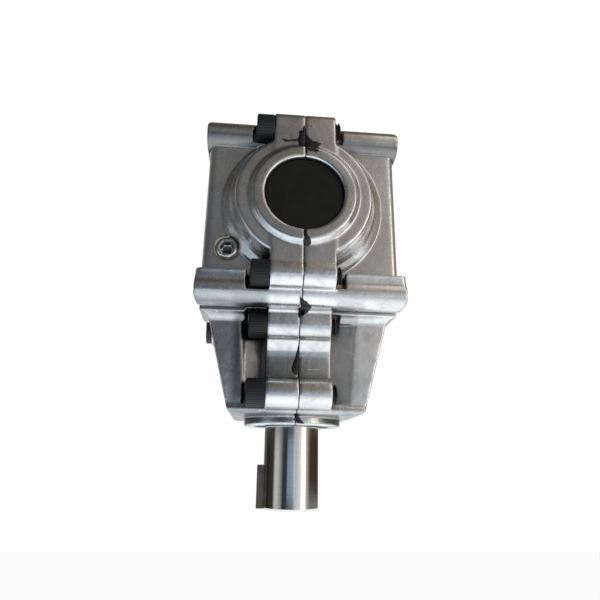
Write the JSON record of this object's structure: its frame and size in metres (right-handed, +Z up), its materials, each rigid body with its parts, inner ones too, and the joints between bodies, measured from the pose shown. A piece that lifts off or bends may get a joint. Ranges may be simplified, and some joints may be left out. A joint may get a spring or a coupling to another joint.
{
  "type": "mower deck gearbox",
  "caption": "Right-angle bevel gearbox in a split cast housing, with a keyed shaft pointing down, a keyed drive shaft at the rear and a capped front bore.",
  "frame": {"origin": "crossing of the input and output shaft axes", "axes": "+Z up along the output shaft axis, output shaft points to -Z; +Y along the input shaft to its driven end; -Y is the capped front; X lies across the split of the housing"},
  "size_m": [0.0884, 0.1602, 0.1736],
  "materials": {
    "cast_aluminium": "satin",
    "black_oxide": "satin",
    "black_rubber": "matte",
    "plug_steel": "polished",
    "ground_steel": "ground",
    "key_steel": "dull",
    "gear_steel": "machined",
    "spring_steel": "satin",
    "bearing_steel": "polished"
  },
  "bodies": {
    "housing": {"housing_left": "cast_aluminium", "housing_right": "cast_aluminium", "end_cap": "black_rubber", "fill_plug": "plug_steel", "drain_plug": "black_oxide", "dowel_front": "ground_steel", "dowel_rear": "ground_steel", "output_seal": "black_rubber", "input_seal": "black_rubber", "screw_front_top": "black_oxide", "screw_front_boss": "black_oxide", "screw_front_mid": "black_oxide", "screw_front_low": "black_oxide", "screw_rear_top": "black_oxide", "screw_rear_boss": "black_oxide", "screw_rear_mid": "black_oxide", "screw_rear_low": "black_oxide", "low_bearing_outer": "bearing_steel", "up_bearing_outer": "bearing_steel", "rear_bearing_outer": "bearing_steel", "front_bearing_outer": "bearing_steel"},
    "output_rotor": {"output_shaft": "ground_steel", "output_key": "key_steel", "output_gear": "gear_steel", "output_gear_key": "key_steel", "output_spacer": "gear_steel", "output_ring": "spring_steel", "low_bearing_inner": "bearing_steel", "up_bearing_inner": "bearing_steel"},
    "input_rotor": {"input_shaft": "ground_steel", "input_key": "key_steel", "input_gear": "gear_steel", "input_gear_key": "key_steel", "input_ring": "spring_steel", "rear_bearing_inner": "bearing_steel", "front_bearing_inner": "bearing_steel"},
    "low_cage": {"low_bearing_balls": "bearing_steel"},
    "up_cage": {"up_bearing_balls": "bearing_steel"},
    "rear_cage": {"rear_bearing_balls": "bearing_steel"},
    "front_cage": {"front_bearing_balls": "bearing_steel"}
  },
  "joints": [
    {"name": "output_spin", "type": "hinge", "parent": "housing", "child": "output_rotor", "pos_m": [0, 0, 0], "axis": [0, 0, 1], "continuous": true},
    {"name": "input_spin", "type": "hinge", "parent": "housing", "child": "input_rotor", "pos_m": [0, 0, 0], "axis": [0, 1, 0], "continuous": true},
    {"name": "low_cage_spin", "type": "hinge", "parent": "housing", "child": "low_cage", "pos_m": [0, 0, -0.08025], "axis": [0, 0, 1], "continuous": true},
    {"name": "up_cage_spin", "type": "hinge", "parent": "housing", "child": "up_cage", "pos_m": [0, 0, -0.05285], "axis": [0, 0, 1], "continuous": true},
    {"name": "rear_cage_spin", "type": "hinge", "parent": "housing", "child": "rear_cage", "pos_m": [0, 0.04685, 0], "axis": [0, 1, 0], "continuous": true},
    {"name": "front_cage_spin", "type": "hinge", "parent": "housing", "child": "front_cage", "pos_m": [0, -0.041, 0], "axis": [0, 1, 0], "continuous": true}
  ],
  "couplings": [
    {"joint": "output_spin", "follows": "input_spin", "ratio": 1},
    {"joint": "low_cage_spin", "follows": "input_spin", "ratio": 0.3958},
    {"joint": "up_cage_spin", "follows": "input_spin", "ratio": 0.3958},
    {"joint": "rear_cage_spin", "follows": "input_spin", "ratio": 0.3958},
    {"joint": "front_cage_spin", "follows": "input_spin", "ratio": 0.3815}
  ]
}
